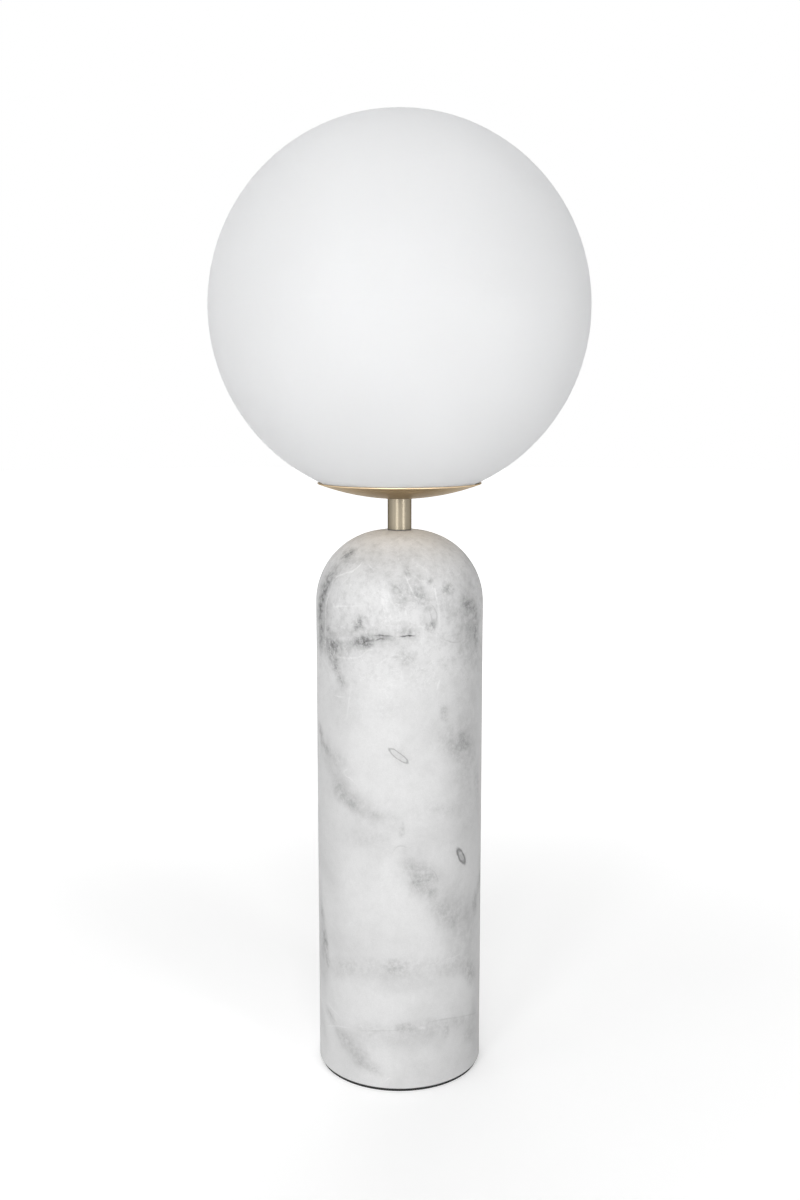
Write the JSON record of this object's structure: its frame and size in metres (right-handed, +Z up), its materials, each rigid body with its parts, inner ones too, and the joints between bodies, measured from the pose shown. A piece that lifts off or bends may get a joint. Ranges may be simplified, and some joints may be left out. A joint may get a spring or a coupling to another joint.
{
  "type": "table lamp",
  "caption": "Table lamp with an opal glass globe seated in a shallow satin brass dish on a short neck, over a domed marble column with a rear cable inlet.",
  "frame": {"origin": "centre of the foot pad's underside, on the surface the lamp stands on", "axes": "+Z up along the lamp's axis, -Y towards the front, +Y towards the rear cable inlet"},
  "size_m": [0.2, 0.2, 0.5161],
  "materials": {
    "pad_foam": "matte closed-cell foam",
    "marble": "honed marble with grey clouds and fine veins",
    "black_plastic": "moulded",
    "zinc_steel": "zinc plated",
    "clear_gasket": "thin dark washer",
    "satin_brass": "satin brushed champagne brass, lacquered",
    "silicone": "soft translucent silicone",
    "rivet_steel": "plain rivet",
    "white_thermoplastic": "moulded, ribbed grip",
    "ceramic_core": "unglazed",
    "plain_brass": "pressed",
    "black_insulator": "dark fused glass",
    "nickel_cap": "nickel plated",
    "bulb_plastic": "milky polycarbonate",
    "board_white": "white solder mask",
    "opal_glass": "satin etched opal",
    "spring_steel": "hardened strip"
  },
  "bodies": {
    "stand": {"foot_pad": "pad_foam", "marble_column": "marble", "inlet_bush": "black_plastic", "base_washer": "zinc_steel", "base_lock_washer": "zinc_steel", "base_nut": "zinc_steel", "threaded_tube": "zinc_steel", "neck_gasket": "clear_gasket", "neck_tube": "satin_brass", "dish": "satin_brass", "dish_lock_washer": "zinc_steel", "dish_nut": "zinc_steel", "glass_seat_ring": "silicone", "clip_plate": "zinc_steel", "clip_rivets": "rivet_steel", "holder_cap": "white_thermoplastic", "holder_core": "ceramic_core", "holder_skirt": "white_thermoplastic", "screw_shell": "plain_brass", "terminal_screws": "plain_brass"},
    "shade": {"globe": "opal_glass"},
    "bulb": {"bulb_contact": "plain_brass", "bulb_insulator": "black_insulator", "bulb_cap": "nickel_cap", "bulb_body": "bulb_plastic", "led_board": "board_white", "bulb_dome": "bulb_plastic"},
    "contact": {"centre_contact": "plain_brass"},
    "clip_1": {"spring_clip_1": "spring_steel"},
    "clip_2": {"spring_clip_2": "spring_steel"},
    "clip_3": {"spring_clip_3": "spring_steel"}
  },
  "joints": [
    {"name": "globe_lift", "type": "slide", "parent": "stand", "child": "shade", "axis": [0, 0, 1], "range_m": [0, 0.12]},
    {"name": "bulb_removal", "type": "slide", "parent": "stand", "child": "bulb", "axis": [0, 0, 1], "range_m": [0, 0.03]},
    {"name": "contact_press", "type": "slide", "parent": "stand", "child": "contact", "axis": [0, 0, -1], "range_m": [0, 0.0013], "stiffness_N_per_m": 1000},
    {"name": "clip_1_press", "type": "slide", "parent": "stand", "child": "clip_1", "axis": [0, -1, 0], "range_m": [0, 0.002], "stiffness_N_per_m": 2000},
    {"name": "clip_2_press", "type": "slide", "parent": "stand", "child": "clip_2", "axis": [0.866, 0.5, 0], "range_m": [0, 0.002], "stiffness_N_per_m": 2000},
    {"name": "clip_3_press", "type": "slide", "parent": "stand", "child": "clip_3", "axis": [-0.866, 0.5, 0], "range_m": [0, 0.002], "stiffness_N_per_m": 2000}
  ]
}
